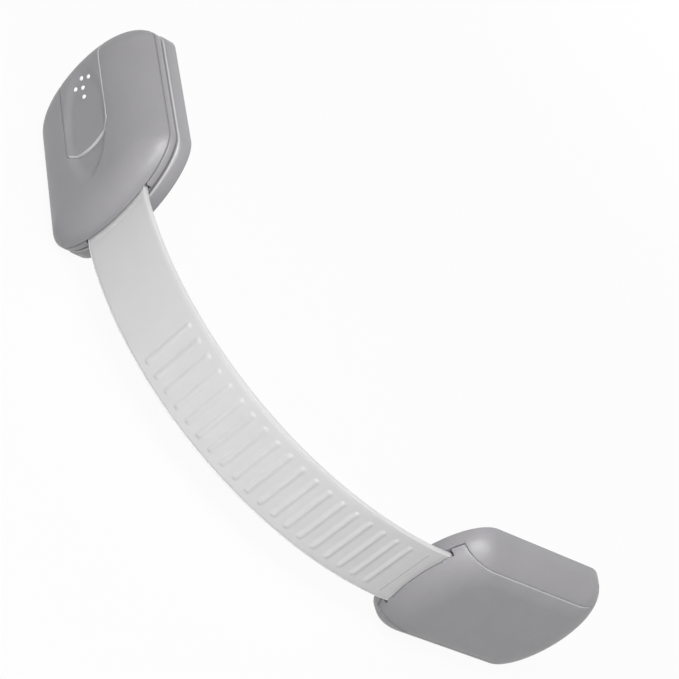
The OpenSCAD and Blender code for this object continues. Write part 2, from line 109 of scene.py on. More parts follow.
def finish_material(name, colour, roughness, grain_mm, grain_depth, shade=0.04, patch_mm=9.0, **sockets):
    """A moulded finish: a colour with faint cloudy patches, an uneven gloss and a fine grain."""
    material = bpy.data.materials.new(name)
    material.use_nodes = True
    tree = material.node_tree
    shader = tree.nodes["Principled BSDF"]
    place = tree.nodes.new("ShaderNodeTexCoord").outputs["Object"]

    def noise(size_mm, detail):
        node = tree.nodes.new("ShaderNodeTexNoise")
        node.inputs["Scale"].default_value = 1 / (size_mm * MM)
        node.inputs["Detail"].default_value = detail
        tree.links.new(place, node.inputs["Vector"])
        return node.outputs["Fac"]

    clouds = tree.nodes.new("ShaderNodeValToRGB")
    for stop, share, at in zip(clouds.color_ramp.elements, (1 - shade, 1 + shade), CLOUD_STOPS):
        stop.color = [c * share for c in colour] + [1]
        stop.position = at
    tree.links.new(noise(patch_mm, 3), clouds.inputs["Fac"])
    tree.links.new(clouds.outputs["Color"], shader.inputs["Base Color"])

    fine = noise(grain_mm, 2)
    gloss = tree.nodes.new("ShaderNodeMapRange")
    gloss.inputs["To Min"].default_value = roughness - GLOSS_SPREAD
    gloss.inputs["To Max"].default_value = roughness + GLOSS_SPREAD
    tree.links.new(fine, gloss.inputs["Value"])
    tree.links.new(gloss.outputs["Result"], shader.inputs["Roughness"])

    bump = tree.nodes.new("ShaderNodeBump")
    bump.inputs["Strength"].default_value = grain_depth
    bump.inputs["Distance"].default_value = GRAIN_HEIGHT
    tree.links.new(fine, bump.inputs["Height"])
    tree.links.new(bump.outputs["Normal"], shader.inputs["Normal"])
    for socket, value in sockets.items():
        shader.inputs[socket.replace("_", " ")].default_value = value
    return material


# %% The finishes of this lock
satin_grey = finish_material("satin_grey_plastic", (0.235, 0.23, 0.24), 0.36, 0.32, 0.9, shade=0.025,
                             Specular_IOR_Level=0.38)
# painted highlight: a paler colour put on rounded seam edges to stand in for their highlight lines
painted_edge_highlight = finish_material("painted_edge_highlight_plastic", (0.42, 0.42, 0.42), 0.30, 0.28, 0.2, shade=0.02)
pale_dots = finish_material("pale_dot_plastic", (0.80, 0.80, 0.79), 0.22, 0.3, 0.05, shade=0.01)
milky_strap = finish_material("milky_strap_plastic", (0.48, 0.48, 0.48), 0.45, 0.5, 0.12, shade=0.012,
                              Subsurface_Weight=0.2, Subsurface_Scale=0.001, Subsurface_Radius=(1, 1, 1))
white_foam = finish_material("white_adhesive_foam", (0.74, 0.74, 0.72), 0.85, 0.45, 0.9, shade=0.06)
inner_grey = finish_material("inner_grey_plastic", (0.16, 0.16, 0.165), 0.45, 0.4, 0.25)
spring_wire = finish_material("spring_wire_steel", (0.62, 0.62, 0.60), 0.25, 0.1, 0.2, Metallic=1.0)
print("finishes:", ", ".join(m.name for m in bpy.data.materials if "_" in m.name))

# %% [markdown]
# ## The domed form
# Both pads are pillows: a bowed outline whose sides and ends round in towards a flat top. The rounding is
# close to an elliptic arc, with a run across and a drop down. Written as a formula, the form gives the height above
# any point of its plan, its outline at any level, and the direction that its surface faces.

# %% Domed form
class Dome:
    """The outline at the foot, and how each edge rounds in: its run, its drop and its fullness."""
    def __init__(self, length, width, bow, height, foot, side, end, far):
        self.length, self.width, self.bow, self.height, self.foot = length, width, bow, height, foot
        self.side, self.end, self.far = side, end, far

    def inset(self, n, edge):
        run, drop, power = edge

        def share(level):
            t = np.clip((level - self.height + drop) / drop, 0, 1)
            return np.maximum(0, 1 - t ** power) ** (1 / power)
        return run * (share(self.foot) - share(np.asarray(n, float)))

    def slice(self, n):
        """Outline at the level n: half length towards the strap and away from it, half width, bow."""
        half_w = self.width / 2 - self.inset(n, self.side)
        half = self.length / 2
        near_l, far_l = half - self.inset(n, self.end), half - self.inset(n, self.far)
        return near_l, far_l, half_w, self.bow * half_w * 2 / self.width

    def reach(self, n, w, far=False):
        """How far from the middle the outline at the level n lies, along the line at w."""
        near_l, far_l, half_w, bow = self.slice(n)
        arch = np.sqrt(np.maximum(0, 1 - (np.asarray(w) / half_w) ** 2))
        return np.where(far, far_l, near_l) - bow + bow * arch

    def top(self, u, w):
        """Level of the surface above a point of the plan, by halving."""
        u, w = np.broadcast_arrays(np.asarray(u, float), np.abs(np.asarray(w, float)))
        low, high = np.full(u.shape, float(self.foot)), np.full(u.shape, float(self.height))
        for _ in range(40):
            middle = (low + high) / 2
            inside = (w < self.slice(middle)[2]) & (np.abs(u) < self.reach(middle, w, u < 0))
            low, high = np.where(inside, middle, low), np.where(inside, high, middle)
        return low

    def outline(self, n, step):
        """Points round the outline at the level n, about one step apart."""
        near_l, far_l, half_w, bow = self.slice(n)
        a = np.linspace(-np.pi / 2, np.pi / 2, 181)
        bowed, across = bow * (np.cos(a) - 1), half_w * np.sin(a)
        ring = np.concatenate([np.stack([near_l + bowed, across], 1), np.stack([-far_l - bowed, -across], 1)])
        ring = np.concatenate([ring, ring[:1]])
        along = np.concatenate([[0], np.cumsum(np.linalg.norm(np.diff(ring, axis=0), axis=1))])
        at = np.linspace(0, along[-1], int(along[-1] / step), endpoint=False)
        return np.stack([np.interp(at, along, ring[:, k]) for k in (0, 1)] + [np.full(len(at), float(n))], 1)

    def facing(self, p):
        """Unit vectors that point straight out of the surface at its points p."""
        p = np.asarray(p, float)

        def field(u, w, n):
            near_l, far_l, half_w, bow = self.slice(np.minimum(n, self.height - 1e-4))
            straight = np.where(u < 0, far_l, near_l) - bow
            return (np.maximum(np.abs(u) - straight, 0) / bow) ** 2 + (w / half_w) ** 2

        d = 1e-3
        n = np.minimum(p[:, 2], self.height - 3 * d)
        slope = np.stack([field(p[:, 0] + d, p[:, 1], n) - field(p[:, 0] - d, p[:, 1], n),
                          field(p[:, 0], p[:, 1] + d, n) - field(p[:, 0], p[:, 1] - d, n),
                          field(p[:, 0], p[:, 1], n + d) - field(p[:, 0], p[:, 1], n - d)], 1)
        flat = p[:, 2] > self.height - 4 * d
        slope[flat] = (0, 0, 1)
        return slope / np.linalg.norm(slope, axis=1, keepdims=True)


# %% Forms of the two pads
# Length, width and bow of each outline
HEAD_PLAN, LATCH_PLAN, ANCHOR_PLAN = (47.7, 39.4, 9.45), (48, 39.7, 9.6), (49.4, 36, 9.6)
HEAD_TOP, HEAD_FOOT, ANCHOR_TOP, ANCHOR_FOOT = 11.75, 6.2, 9.5, 0.5
head_form = Dome(*HEAD_PLAN, HEAD_TOP, HEAD_FOOT, side=(12, 7, 1.85), end=(8, 5, 2), far=(5.5, 5, 2))
anchor_form = Dome(*ANCHOR_PLAN, ANCHOR_TOP, ANCHOR_FOOT, side=(9, 9, 2), end=(9, 6.5, 2), far=(9, 6.5, 2))
print("top of the head at", head_form.top(0, 0), "and of the anchor at", anchor_form.top(0, 0))

# %% [markdown]
# ## Skins on a form
# A moulding's edge follows its seams, not a tidy grid. So each skin is drawn as its edge loops, filled with
# points of the form and joined by Blender's Delaunay triangulation. The triangulation works on a flattened
# copy, in which lower points are pushed outwards, so that steep sides get triangles as even as the top's.

# %% Triangulate a skin
def inside_loops(points, loops):
    inside = np.zeros(len(points), bool)
    for loop in loops:
        a, b = loop, np.roll(loop, -1, axis=0)
        for (x0, y0), (x1, y1) in zip(a, b):
            if y0 != y1:
                crosses = (points[:, 1] < y0) != (points[:, 1] < y1)
                inside ^= crosses & (points[:, 0] < x0 + (points[:, 1] - y0) * (x1 - x0) / (y1 - y0))
    return inside


def distance_to(points, starts, ends):
    best = np.full(len(points), 1e9)
    for a, b in zip(starts, ends):
        d = b - a
        t = np.clip((points - a) @ d / max(d @ d, 1e-12), 0, 1)
        best = np.minimum(best, np.linalg.norm(points - a - t[:, None] * d, axis=1))
    return best


def flattened(p, height, spread=0.03):
    return p[:, :2] * (1 + spread * (height - p[:, 2]))[:, None]


def triangulate(points, loops, height):
    """Triangles between points, of which the first ones are the loops, one after another."""
    flat = flattened(points, height)
    edges, start = [], 0
    for loop in loops:
        edges += [(start + i, start + (i + 1) % len(loop)) for i in range(len(loop))]
        start += len(loop)
    _, _, found, origin, _, _ = delaunay_2d_cdt([Vector(p) for p in flat], edges, [], 0, 1e-7)
    back = [min(o) if o else None for o in origin]
    found = [[back[i] for i in f] for f in found if len(f) == 3]
    found = np.array([f for f in found if None not in f])
    middle = flat[found].mean(axis=1)
    found = found[inside_loops(middle, [flattened(np.asarray(l), height) for l in loops])]
    a, b, c = (flat[found[:, k]] for k in range(3))
    turned = (b - a)[:, 0] * (c - a)[:, 1] - (b - a)[:, 1] * (c - a)[:, 0] < 0
    found[turned] = found[turned][:, ::-1]
    return found


# %% Moulding: points and faces in a local frame
SHARP = 38   # edges that turn by more than this many degrees stay crisp


class Moulding:
    def __init__(self):
        self.points, self.faces, self.accents = [], [], []

    def add(self, points):
        start = len(self.points)
        self.points += [tuple(p) for p in np.asarray(points, float)]
        return list(range(start, start + len(points)))

    def strip(self, a, b, closed=True):
        """Quads from ring a to ring b, which have the same number of points."""
        for i in range(len(a) if closed else len(a) - 1):
            j = (i + 1) % len(a)
            self.faces.append((a[i], a[j], b[j], b[i]))

    def cap(self, ring):
        self.faces.append(tuple(ring))

    def stack(self, rings):
        """A tower of rings of points, closed at both ends, from its bottom to its top."""
        ids = [self.add(r) for r in rings]
        for a, b in zip(ids, ids[1:]):
            self.strip(a, b)
        self.cap(ids[0][::-1])
        self.cap(ids[-1])
        return ids

    def make(self, name, place, material, body=None, sharp=SHARP):
        mesh = bpy.data.meshes.new(name)
        mesh.from_pydata([tuple(p) for p in place(self.points)], [], self.faces)
        mesh.validate()
        mesh.shade_smooth()
        mesh.set_sharp_from_angle(angle=math.radians(sharp))
        piece = bpy.data.objects.new(name, mesh)
        bpy.context.scene.collection.objects.link(piece)
        mesh.materials.append(material)
        for accent, first, last in self.accents:
            mesh.materials.append(accent)
            for face in mesh.polygons[first:last]:
                face.material_index = len(mesh.materials) - 1
        if body:
            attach(piece, body)
        print(name, len(mesh.vertices), "points,", len(mesh.polygons), "faces")
        return piece


# %% Skin with thickness
EDGE_ROWS = (0.12, 0.33, 0.62, 1.0)   # rows of points on a rounded edge, as shares of its radius
EDGE_PART = 0.7                       # the share of a rounded edge that gets the painted highlight
FOOT_DROP, FOOT_IN = 0.2, 0.25        # chamfer at the foot of a skin
RINGS = 20                            # outlines that fill the rounded part of a form


def skin(moulding, form, loops, carve=None, step=0.62, wall=1.5, lowest=None, edge_highlight_paint=None):
    """Cover the form between the edge loops, give it a wall, and round its seam edges.
    A loop is (points on the form, radius of the edge at each). An edge with no radius is the foot of the
    skin, and gets a small chamfer. The rounded edges may get a paler colour, as a painted highlight."""
    edge = np.concatenate([p for p, _ in loops])
    radius = np.concatenate([r for _, r in loops])
    seam = radius > 0
    flat_loops = [flattened(p, form.height) for p, _ in loops]
    starts = np.concatenate(flat_loops)
    ends = np.concatenate([np.roll(l, -1, axis=0) for l in flat_loops])
    low = form.foot if lowest is None else lowest
    fill = [form.outline(n, step) for n in low + (form.height - low) * (1 - np.linspace(0, 1, RINGS) ** 2)]
    near_l, far_l, half_w, _ = form.slice(form.height)
    u, w = np.meshgrid(np.arange(-far_l, near_l, step), np.arange(-half_w, half_w, step))
    grid = np.stack([u.ravel(), w.ravel(), form.top(u, w).ravel()], 1)
    fill = np.concatenate(fill + [grid[grid[:, 2] > form.height - 1e-3]])
    # Rows that follow a seam edge, close enough together to round it
    rows, drops, shares = [], [], []
    for points, r in loops:
        on = r > 0
        along = np.roll(points[:, :2], -1, axis=0) - np.roll(points[:, :2], 1, axis=0)
        length = np.maximum(np.linalg.norm(along, axis=1), 1e-9)
        inward = np.stack([-along[:, 1], along[:, 0]], 1) / length[:, None]
        for share in EDGE_ROWS:
            moved = (points[:, :2] + share * r[:, None] * inward)[on]
            rows.append(np.column_stack([moved, form.top(moved[:, 0], moved[:, 1])]))
            drops.append(r[on] * (1 - math.sqrt(1 - (1 - share) ** 2)))
            shares.append(np.full(on.sum(), share))
    rows, drops, shares = np.concatenate(rows), np.concatenate(drops), np.concatenate(shares)
    flat = flattened(rows, form.height)
    keep = inside_loops(flat, flat_loops) & (distance_to(flat, starts, ends) > 0.02)
    rows, drops, shares = rows[keep], drops[keep], shares[keep]
    flat = flattened(fill, form.height)
    # The other points keep clear of the edges, and of the rows that round them
    room = 0.75 * step + max(0.0, radius.max() - 0.4)
    fill = fill[inside_loops(flat, flat_loops) & (distance_to(flat, starts, ends) > room)]
    points = np.concatenate([edge, rows, fill])
    drop = np.concatenate([radius, drops, np.zeros(len(fill))])
    triangles = triangulate(points, [p for p, _ in loops], form.height)
    rounded = np.concatenate([seam, shares < EDGE_PART, np.zeros(len(fill), bool)])[triangles].all(axis=1)
    triangles = triangles[np.argsort(~rounded, kind="stable")]
    # the rounded edge faces get the paler material, a painted highlight
    if edge_highlight_paint:
        moulding.accents.append((edge_highlight_paint, len(moulding.faces), len(moulding.faces) + int(rounded.sum())))
    out = form.facing(points)
    outer = points - out * drop[:, None]
    if carve is not None:
        outer[:, 2] -= carve(points[:, 0], points[:, 1])
    ids = moulding.add(outer)
    moulding.faces += [tuple(ids[i] for i in t) for t in triangles]
    foot = np.where(seam, 0, FOOT_DROP)
    inner = outer + out * drop[:, None] - out * wall
    inner[:len(edge), 2] -= foot
    inner_ids = moulding.add(inner)
    moulding.faces += [tuple(inner_ids[i] for i in t[::-1]) for t in triangles]
    side = outer[:len(edge)] - out[:len(edge)] * np.where(seam, 0.5 * wall, FOOT_IN)[:, None]
    side[:, 2] -= foot
    side_ids = moulding.add(side)
    start = 0
    for p, _ in loops:
        ring = slice(start, start + len(p))
        moulding.strip(ids[ring][::-1], side_ids[ring][::-1])
        moulding.strip(side_ids[ring][::-1], inner_ids[ring][::-1])
        start += len(p)


def on_form(form, uw):
    uw = np.asarray(uw, float)
    return np.column_stack([uw, form.top(uw[:, 0], uw[:, 1])])


def seam_run(form, u0, u1, w, low, step=0.5):
    """Points along the form at w from u0 to u1, evenly spaced on the surface; low is its least level."""
    u = np.linspace(u0, u1, 4000)
    n = np.maximum(form.top(u, np.full_like(u, w)), low)
    along = np.concatenate([[0], np.cumsum(np.hypot(np.diff(u), np.diff(n)))])
    at = np.linspace(0, along[-1], max(2, int(along[-1] / step)))
    return np.stack([np.interp(at, along, u), np.full(len(at), float(w)), np.interp(at, along, n)], 1)


# %% [markdown]
# ## Head shell and release button
# The shell is the domed upper casing of the head. A slot runs through its top from the far end, and the
# slide button fills it, with a hairline seam. A thumb scoop runs on from the button into the shell. It is
# a dip in the height formula, a little deeper in the shell, so the button's front edge stands proud.

# %% Plan of the button and the scoop
BUTTON_HALF, BUTTON_FRONT, BUTTON_BOW, SEAM = 7.03, 3.0, 2.4, 0.07
front_r = (BUTTON_HALF ** 2 + BUTTON_BOW ** 2) / (2 * BUTTON_BOW)
front_u = BUTTON_FRONT + BUTTON_BOW - front_r
CORNER_ALONG, CORNER_ACROSS = 0.9, 0.6   # size of the bend at each front corner
SCOOP_U, SCOOP_HALF_L, SCOOP_HALF_W, SCOOP_WALL = -2.2, 17.8, 7.1, 0.5


def button_loop(room, lip, side_edge, front_edge):
    """The loop round the button, or round its slot with some room, and the radius of its edges."""
    half = BUTTON_HALF + room

    def front(w):
        return front_u + np.sqrt((front_r + room) ** 2 - np.asarray(w) ** 2)

    w = np.linspace(-half, half, 28)
    far_edge = np.column_stack([-head_form.reach(lip, w, True), w, np.full(len(w), lip)])
    inner = half - CORNER_ACROSS
    corner, turn = np.array([front(half), half]), np.array([front(inner), inner])
    side_end = corner - (CORNER_ALONG, 0)
    t = np.linspace(0, 1, 7)[:, None]
    bend = (1 - t) ** 2 * side_end + 2 * t * (1 - t) * corner + t ** 2 * turn
    w = np.linspace(turn[1], -turn[1], 34)
    plan = np.concatenate([bend[:-1], np.column_stack([front(w), w]), bend[-2::-1] * (1, -1)])
    arch = on_form(head_form, plan)
    right = seam_run(head_form, far_edge[-1, 0], side_end[0], half, lip)
    loop = np.concatenate([far_edge[:-1], right[:-1], arch[:-1], right[:0:-1] * (1, -1, 1)])
    radius = np.full(len(loop), side_edge)
    radius[:len(far_edge) - 1] = 0
    start = len(far_edge) + len(right) - 2
    radius[start + 3:start + len(arch) - 4] = front_edge   # between the two corners
    return loop[::-1], radius[::-1]


def scoop(depth):
    """A bowl with a flat floor: its wall takes up the outer part of an oval."""
    def dip(u, w):
        oval = ((u - SCOOP_U) / SCOOP_HALF_L) ** 2
        t = np.clip((1 - oval - (w / SCOOP_HALF_W) ** 2) / SCOOP_WALL, 0, 1)
        return depth * t * t * (3 - 2 * t)
    return dip


# %% Head shell
RIM_STEP, HEAD_WALL, SHELL_EDGE, SLOT_LIP = 0.6, 1.75, 0.1, 8.45
rim = head_form.outline(6.42, RIM_STEP)
slot = button_loop(SEAM, SLOT_LIP, SHELL_EDGE, SHELL_EDGE)
shell = Moulding()
skin(shell, head_form, [(rim, np.zeros(len(rim))), slot], scoop(1.25), wall=HEAD_WALL)
shell_piece = shell.make("head_shell_moulding", at_latch, satin_grey, "head")
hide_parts("head_shell")

# %% Release button
button = Moulding()
button_dip = scoop(0.82)
button_edge = button_loop(0, 8.75, 0.33, 0.6)
# the button's rounded seam edges are painted paler, as a painted highlight
skin(button, head_form, [button_edge], button_dip, wall=HEAD_WALL, lowest=8.6, edge_highlight_paint=painted_edge_highlight)
print("button skin", len(button.faces), "faces")

# %% Grip dots and inner slide of the button
def ring_at(u, w, n, radius, count=24):
    a = np.arange(count) * 2 * np.pi / count
    return np.stack([u + radius * np.cos(a), w + radius * np.sin(a), np.full(count, float(n))], 1)


def box_rings(u0, u1, w0, w1, n0, n1, r=0.15, chamfer=0.1):
    """Rings of a block with rounded upright edges and chamfered rims."""
    def ring(inset, n):
        a = np.linspace(0, np.pi / 2, 5)
        points = []
        for cu, cw, turn in ((u1, w1, 0), (u0, w1, 1), (u0, w0, 2), (u1, w0, 3)):
            su, sw = (1, -1, -1, 1)[turn], (1, 1, -1, -1)[turn]
            b = a + turn * np.pi / 2
            points.append(np.stack([cu - su * r + (r - inset) * np.cos(b),
                                    cw - sw * r + (r - inset) * np.sin(b), np.full(len(a), float(n))], 1))
        return np.concatenate(points)
    return [ring(chamfer, n0), ring(0, n0 + chamfer), ring(0, n1 - chamfer), ring(chamfer, n1)]


DOTS = ((-10.4, 0), (-13.3, 0), (-16.2, 0), (-14.75, 2.35), (-14.75, -2.35))
DOT_R, DOT_RISE, DOT_ROOT = 0.55, 0.36, 0.4
first_dot = len(button.faces)
for u, w in DOTS:
    seat = float(head_form.top(u, w) - button_dip(np.array(u), np.array(w)))
    rings = [ring_at(u, w, seat - DOT_ROOT, DOT_R)]
    for a in np.linspace(0, 1.45, 7):
        rings.append(ring_at(u, w, seat + DOT_RISE * math.sin(a), DOT_R * math.cos(a)))
    button.stack(rings)
button.accents.append((pale_dots, first_dot, len(button.faces)))
button.stack(box_rings(0, 8.4, -6, 6, 9.0, 9.8))
button.stack(box_rings(-13, -9, -8.4, 8.4, 9.0, 9.8))
button.stack(box_rings(-16.5, 3, -6.85, 6.85, 9.0, 10.1))
button_piece = button.make("release_button_moulding", at_latch, satin_grey, "button")
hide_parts("release_button")

# %% [markdown]
# ## Lower cover and latch base
# Below the shell lie a thin cover, which traps the end of the strap, and the plate that is stuck to the
# furniture. Both are plates with the bowed outline, so each is a tower of outlines: a list of insets and
# levels is its whole profile. Openings are cut by Blender's exact Boolean, which suits flat faces.

# %% Plates from a profile
def bowed_ring(length, width, bow, inset, n, count=64):
    a = np.linspace(-np.pi / 2, np.pi / 2, count)
    half_l, half_w, bow = length / 2 - inset, width / 2 - inset, bow - inset
    end = np.stack([half_l - bow + bow * np.cos(a), half_w * np.sin(a)], 1)
    ring = np.concatenate([end, -end])
    return np.column_stack([ring, np.full(len(ring), float(n))])


def plate(moulding, plan, profile):
    return moulding.stack([bowed_ring(*plan, inset, n) for inset, n in profile])


def cut(piece, place, blocks):
    """Take square-cornered blocks out of a piece, for good."""
    tool = Moulding()
    for u0, u1, w0, w1, n0, n1 in blocks:
        corners = [(u0, w0), (u1, w0), (u1, w1), (u0, w1)]
        tool.stack([[(u, w, n0) for u, w in corners], [(u, w, n1) for u, w in corners]])
    tool = tool.make("cutter", place, satin_grey)
    change = piece.modifiers.new("openings", "BOOLEAN")
    change.operation, change.solver, change.object, change.use_self = "DIFFERENCE", "EXACT", tool, True
    view = bpy.context.evaluated_depsgraph_get()
    mesh = bpy.data.meshes.new_from_object(piece.evaluated_get(view))
    piece.modifiers.clear()
    piece.data = mesh
    mesh.set_sharp_from_angle(angle=math.radians(SHARP))
    bpy.data.objects.remove(tool)


# %% Lower cover of the head
lower = Moulding()
plate(lower, HEAD_PLAN, [(0.5, 4.3), (0.32, 4.34), (0.08, 4.58), (0, 4.78), (0, 5.8),
                         (0.09, 5.98), (0.35, 6.06), (0.6, 6.2)])
lower_piece = lower.make("head_lower_cover_moulding", at_latch, satin_grey)
strap_slot = [(12.05, 30, -9.6, 9.6, 4.65, 7), (20, 30, -10.4, 10.4, 4.65, 7)]
post_windows = [(-10.75, -6.25, *sorted((s * 4.15, s * 8.25)), 0, 9) for s in (1, -1)]
cut(lower_piece, at_latch, strap_slot + post_windows)
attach(lower_piece, "head")
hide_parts("head_lower_cover")

# %% Latch base
base = Moulding()
HIGHLIGHT_BAND = 7                             # which band of the profile gets the painted highlight
POST_ALONG, POST_FOOT, POST_TOP = (-10.5, -6.5), 3.6, 8.75
rings = plate(base, LATCH_PLAN, [(2.3, 1.02), (2.3, 0.5), (0.2, 0.5), (0.05, 0.56), (0, 0.7), (0, 3.15),
                                 (0.05, 3.38), (0.2, 3.6), (0.42, 3.82), (0.66, 3.97), (0.85, 4.0)])
band = len(rings[0])
# the top edge bevel of the base is painted paler, as a painted highlight
base.accents.append((painted_edge_highlight, HIGHLIGHT_BAND * band, (HIGHLIGHT_BAND + 1) * band))
for s in (1, -1):
    base.stack(box_rings(*POST_ALONG, *sorted((s * 4.4, s * 7.0)), POST_FOOT, POST_TOP))
    base.stack(box_rings(*POST_ALONG, *sorted((s * 4.4, s * 8.0)), 7.95, POST_TOP))
base_piece = base.make("latch_base_moulding", at_latch, satin_grey, "latch_plate")
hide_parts("latch_base")

# %% Foam pads
FOAM_PROFILE = [(2.75, 0.0), (2.56, 0.06), (2.5, 0.2), (2.56, 0.5), (2.5, 0.8), (2.55, 0.95), (2.7, 1.0)]
for place, body, name, plan in ((at_anchor, "anchor", "anchor_adhesive_pad", ANCHOR_PLAN),
                                (at_latch, "latch_plate", "latch_adhesive_pad", LATCH_PLAN)):
    foam = Moulding()
    plate(foam, plan, FOAM_PROFILE)
    foam_piece = foam.make(name + "_foam", place, white_foam, body)
    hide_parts(name)

# %% [markdown]
# ## Anchor base and cover
# The anchor is one pillow in two pieces. The base has a cheek along each side; the cover is the panel
# between the cheeks, and it wraps over both ends. Both skins lie on the same form, and only their edge
# loops differ, so the seam between them keeps one width all the way.

# %% Edges of the anchor's two pieces
SEAM_HALF, SEAM_GAP = 13.3, 0.03   # where the seam runs, and how far each piece keeps from it
TURN_SHARE = 0.4                   # share of the edge radius where the seam turns out to the side
PEGS = [(u, w) for u in (-14, 14) for w in (-11.4, 11.4)]


def level_run(form, n, w, far=False):
    """Points of one end at the level n, over the widths w."""
    w = np.asarray(w, float)
    return np.column_stack([form.reach(n, w, far) * (-1 if far else 1), w, np.full(len(w), float(n))])


def far_width(form, u, n):
    """Where the line across the form at u comes down to the level n."""
    w = np.linspace(0, form.slice(n)[2], 4000)
    return float(w[np.searchsorted(-form.reach(n, w, u < 0), -abs(u))])


def cross_run(form, u, w0, w1, low, step=0.5):
    """Points across the form at u from w0 to w1, evenly spaced on the surface; low is its least level."""
    w = np.linspace(w0, w1, 3000)
    n = np.maximum(form.top(np.full_like(w, u), w), low)
    along = np.concatenate([[0], np.cumsum(np.hypot(np.diff(w), np.diff(n)))])
    at = np.linspace(0, along[-1], max(2, int(along[-1] / step)))
    return np.stack([np.full(len(at), float(u)), np.interp(at, along, w), np.interp(at, along, n)], 1)


def anchor_loop(half, turn_u, foot, mouth, edge_r):
    """The seam loop of one piece: strap end, seam of the positive side, far end, other side."""
    edge = far_width(anchor_form, turn_u, foot)
    strap_end = np.concatenate([level_run(anchor_form, n, np.linspace(a, b, k)) for n, a, b, k in mouth])
    right = seam_run(anchor_form, anchor_form.reach(strap_end[-1, 2], half), turn_u, half, strap_end[-1, 2])
    out = cross_run(anchor_form, turn_u, half, edge, foot)
    w = np.linspace(edge, -edge, 70)
    far_end = level_run(anchor_form, foot, w, True)
    pieces = [strap_end, right[1:], out[1:], far_end[1:-1],
              out[:0:-1] * (1, -1, 1), right[:0:-1] * (1, -1, 1)]
    seam = [np.zeros(len(strap_end)), np.ones(len(right) - 1), np.full(len(out) - 2, TURN_SHARE),
            np.zeros(len(far_end) - 1), np.full(len(out) - 1, TURN_SHARE), np.ones(len(right) - 1)]
    return np.concatenate(pieces), edge_r * np.concatenate(seam)


# %% Anchor cover
COVER_FOOT, PEG_R = 3.8, 1.4
half = SEAM_HALF - SEAM_GAP
# Each stretch of the mouth: its level, the widths it spans and its number of points
cover_mouth = [(COVER_FOOT, -half, -10.45, 8), (5.25, -10.4, -7.75, 6), (5.5, -7.7, 7.7, 32),
               (5.25, 7.75, 10.4, 6), (COVER_FOOT, 10.45, half, 8)]
cover_edge = anchor_loop(half, -18.075, COVER_FOOT, cover_mouth, 0.35)
cover = Moulding()
# the cover's rounded seam edges are painted paler, as a painted highlight
skin(cover, anchor_form, [cover_edge], lowest=3.65, edge_highlight_paint=painted_edge_highlight)
for u, w in PEGS:
    cover.stack([ring_at(u, w, 1.85, 1.15), ring_at(u, w, 2.1, PEG_R), ring_at(u, w, 8, PEG_R)])
cover.stack(box_rings(-11.2, -5.2, -5, 5, 6.9, 8.4))
cover_piece = cover.make("anchor_cover_moulding", at_anchor, satin_grey, "cover")
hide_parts("anchor_cover")

# %% Anchor base
BASE_FLOOR, BASE_BOTTOM, HOLE_R, HOLE_DEPTH = 3.5, 1.05, 1.45, 1.7
half = SEAM_HALF + SEAM_GAP
inner_loop, inner_seam = anchor_loop(half, -17.925, BASE_FLOOR, [(BASE_FLOOR, -half, half, 50)], 0.06)
rim = anchor_form.outline(0.72, RIM_STEP)
anchor = Moulding()
skin(anchor, anchor_form, [(rim, np.zeros(len(rim))), (inner_loop[::-1], inner_seam[::-1])])
floor_ring = inner_loop.copy()
floor_ring[:, :2] *= 0.999   # just inside the skin, so that no faces coincide
floor_ring[:, 2] = BASE_FLOOR
low_ring = floor_ring.copy()
low_ring[:, 2] = BASE_BOTTOM
holes = [ring_at(u, w, BASE_FLOOR, HOLE_R) for u, w in PEGS]
floor_points = np.concatenate([floor_ring] + holes)
ids = anchor.add(floor_points)
found = triangulate(floor_points, [floor_ring] + holes, BASE_FLOOR)
anchor.faces += [tuple(ids[i] for i in t) for t in found]
low_ids = anchor.add(low_ring)
anchor.strip(low_ids, ids[:len(low_ids)])
anchor.cap(low_ids[::-1])
for k, hole in enumerate(holes):
    start = len(floor_ring) + k * len(hole)
    bottom = anchor.add(hole - (0, 0, HOLE_DEPTH))
    anchor.strip(ids[start:start + len(hole)], bottom)
    anchor.cap(bottom)
plate(anchor, ANCHOR_PLAN, [(2.3, 1.02), (2.3, 0.5), (0.3, 0.5), (0.3, 0.9)])
anchor_piece = anchor.make("anchor_base_moulding", at_anchor, satin_grey, "anchor")
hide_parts("anchor_base")

# %% [markdown]
# ## Strap
# The strap is one soft moulding with beaded edges and low ridges for the ratchet. It is swept along the
# path of the CAD strap: a straight tail, a slight turn at each mouth, and one long bend. One sweep makes the
# whole strap, and it is then parted in the middle of each CAD length, so that each part spans one hinge.

# %% Path of the strap
FREE, TAIL, ROOT = 104.5, 40.0, 12.0   # lengths between the pads, in the anchor and in the head
TURN, RUN = (6.0, 9.0), 3.0            # degrees that it turns next to each mouth, and over what length
HALF_T, SEAT, MOUTH_GAP = 0.75, 3.6, 0.15


def strap_angle(s):
    return np.interp(s, [0, RUN, FREE - RUN, FREE], [0, TURN[0], 90 - TURN[1], 90])


fine_s = np.linspace(-TAIL, FREE + ROOT, 20001)
fine_a = np.radians(strap_angle(fine_s))
steps = np.stack([-np.cos(fine_a), np.sin(fine_a)], 1)
moves = (steps[1:] + steps[:-1]) / 2 * np.diff(fine_s)[:, None]
line = np.concatenate([[[0, 0]], np.cumsum(moves, axis=0)])
strap_start = np.array([-(ANCHOR_PLAN[0] / 2 + MOUTH_GAP), -(SEAT + HALF_T)])
line += strap_start - [np.interp(0, fine_s, line[:, k]) for k in (0, 1)]


def strap_point(s, n=0.0):
    a = np.radians(strap_angle(s))
    x, y = (np.interp(s, fine_s, line[:, k]) for k in (0, 1))
    return np.stack([x - n * np.sin(a), y - n * np.cos(a)], -1)


print("strap enters the head at", strap_point(FREE).round(2))


